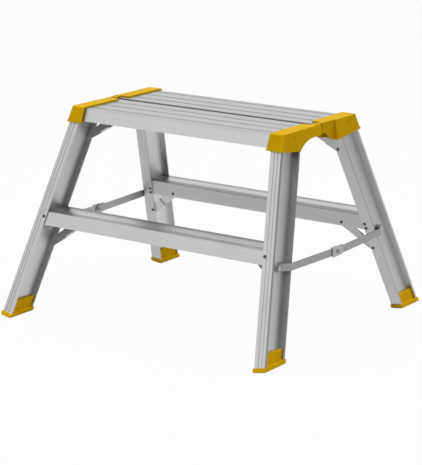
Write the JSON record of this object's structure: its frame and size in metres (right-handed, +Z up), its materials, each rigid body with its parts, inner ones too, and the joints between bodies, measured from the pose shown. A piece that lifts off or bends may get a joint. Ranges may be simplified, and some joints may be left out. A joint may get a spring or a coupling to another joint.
{
  "type": "folding step trestle",
  "caption": "Folding aluminium builders trestle: hinged ladder halves under a split plank platform, with a tread, knee braces and spreader bars on each side.",
  "frame": {"origin": "on the floor under the middle of the platform", "axes": "+X along the platform, +Y from the front half to the rear half, +Z up"},
  "size_m": [0.7792, 0.7004, 0.503],
  "materials": {
    "profile": "mill finish extrusion",
    "moulding": "moulded yellow plastic with a fine grain",
    "hardware": "zinc plated steel"
  },
  "bodies": {
    "front_frame": {"front_deck_plank": "profile", "front_tread": "profile", "front_right_stile": "profile", "front_left_stile": "profile", "front_right_cap": "moulding", "front_left_cap": "moulding", "front_right_foot": "moulding", "front_left_foot": "moulding", "front_right_tread_brace": "profile", "front_left_tread_brace": "profile", "front_right_deck_brace": "profile", "front_left_deck_brace": "profile", "front_tread_rivets": "hardware", "front_brace_rivets": "hardware", "front_cap_screws": "hardware", "right_hinge_pin": "hardware", "front_right_pivot_stud": "hardware", "front_left_pivot_stud": "hardware"},
    "rear_frame": {"rear_deck_plank": "profile", "rear_tread": "profile", "rear_right_stile": "profile", "rear_left_stile": "profile", "rear_right_cap": "moulding", "rear_left_cap": "moulding", "rear_right_foot": "moulding", "rear_left_foot": "moulding", "rear_right_tread_brace": "profile", "rear_left_tread_brace": "profile", "rear_right_deck_brace": "profile", "rear_left_deck_brace": "profile", "rear_tread_rivets": "hardware", "rear_brace_rivets": "hardware", "rear_cap_screws": "hardware", "left_hinge_pin": "hardware", "rear_right_pivot_stud": "hardware", "rear_left_pivot_stud": "hardware"},
    "front_right_bar": {"front_right_spreader_bar": "profile", "front_right_mid_rivet": "hardware"},
    "front_left_bar": {"front_left_spreader_bar": "profile", "front_left_mid_rivet": "hardware"},
    "rear_right_bar": {"rear_right_spreader_bar": "profile", "rear_right_mid_rivet": "hardware"},
    "rear_left_bar": {"rear_left_spreader_bar": "profile", "rear_left_mid_rivet": "hardware"}
  },
  "joints": [
    {"name": "fold", "type": "hinge", "parent": "front_frame", "child": "rear_frame", "pos_m": [0, 0, 0.4905], "axis": [-1, 0, 0], "range_deg": [0, 54]},
    {"name": "front_right_spreader", "type": "hinge", "parent": "front_frame", "child": "front_right_bar", "pos_m": [0.342, -0.22532, 0.211], "axis": [1, 0, 0], "range_deg": [0, 46]},
    {"name": "front_left_spreader", "type": "hinge", "parent": "front_frame", "child": "front_left_bar", "pos_m": [-0.342, -0.22532, 0.211], "axis": [1, 0, 0], "range_deg": [0, 46]},
    {"name": "rear_right_spreader", "type": "hinge", "parent": "rear_frame", "child": "rear_right_bar", "pos_m": [0.342, 0.22532, 0.211], "axis": [-1, 0, 0], "range_deg": [0, 46]},
    {"name": "rear_left_spreader", "type": "hinge", "parent": "rear_frame", "child": "rear_left_bar", "pos_m": [-0.342, 0.22532, 0.211], "axis": [-1, 0, 0], "range_deg": [0, 46]}
  ],
  "couplings": [
    {"joint": "front_right_spreader", "follows": "fold", "ratio": 0.84064},
    {"joint": "front_left_spreader", "follows": "fold", "ratio": 0.84064},
    {"joint": "rear_right_spreader", "follows": "fold", "ratio": 0.84064},
    {"joint": "rear_left_spreader", "follows": "fold", "ratio": 0.84064}
  ]
}
